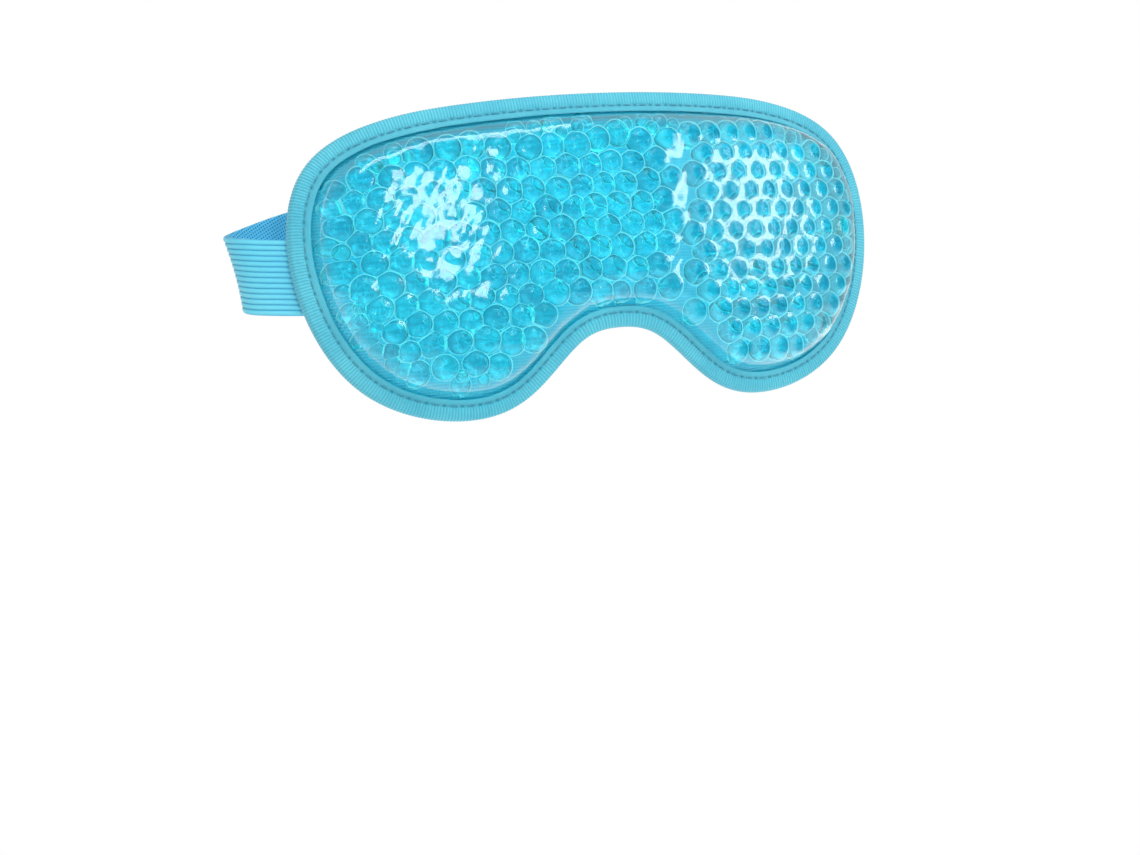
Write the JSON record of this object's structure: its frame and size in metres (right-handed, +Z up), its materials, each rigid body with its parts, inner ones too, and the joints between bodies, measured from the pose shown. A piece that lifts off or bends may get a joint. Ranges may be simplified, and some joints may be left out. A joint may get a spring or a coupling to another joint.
{
  "type": "gel bead eye pillow",
  "caption": "Gel bead eye mask with a clear crowned front, cloth back, bound edge, nose arch and an elastic strap that closes with hook and loop.",
  "frame": {"origin": "centre of the face side, on the back surface of the cloth back, between the two eye lobes", "axes": "+X along the mask from lobe to lobe, to the viewer's right when the clear front is looked at; +Y from the mask towards the head and the strap, so the clear front faces -Y; +Z up the face, with the nose arch at the bottom"},
  "size_m": [0.2384, 0.0655, 0.1074],
  "materials": {
    "clear_film": "clear glossy soft vinyl film",
    "gel": "translucent cyan water-gel beads",
    "cloth": "finely ribbed knit cloth",
    "tape": "woven binding tape with a diagonal grain",
    "thread": "polyester sewing thread",
    "elastic": "ribbed elastic webbing",
    "loop": "brushed loop tape",
    "hook": "moulded hook tape"
  },
  "bodies": {
    "mask": {"front_film": "clear_film", "rear_film": "clear_film", "gel_beads_front": "gel", "gel_beads_rear": "gel", "backing_cloth": "cloth", "binding_tape": "tape", "binding_stitches": "thread", "strap_left": "elastic", "strap_right": "elastic", "strap_end_stitches_left": "thread", "strap_end_stitches_right": "thread"},
    "closure": {"loop_patch": "loop", "loop_patch_stitches": "thread", "hook_tab_stitches": "thread"},
    "hook": {"hook_tab": "hook"}
  },
  "joints": [
    {"name": "strap_draw", "type": "slide", "parent": "mask", "child": "closure", "axis": [0, 1, 0], "range_m": [0, 0.14], "stiffness_N_per_m": 12, "deforming": ["strap_left", "strap_right"]},
    {"name": "closure_peel", "type": "hinge", "parent": "closure", "child": "hook", "pos_m": [-0.0215, 0.0509, 0], "axis": [0, 0, 1], "range_deg": [0, 120]}
  ]
}
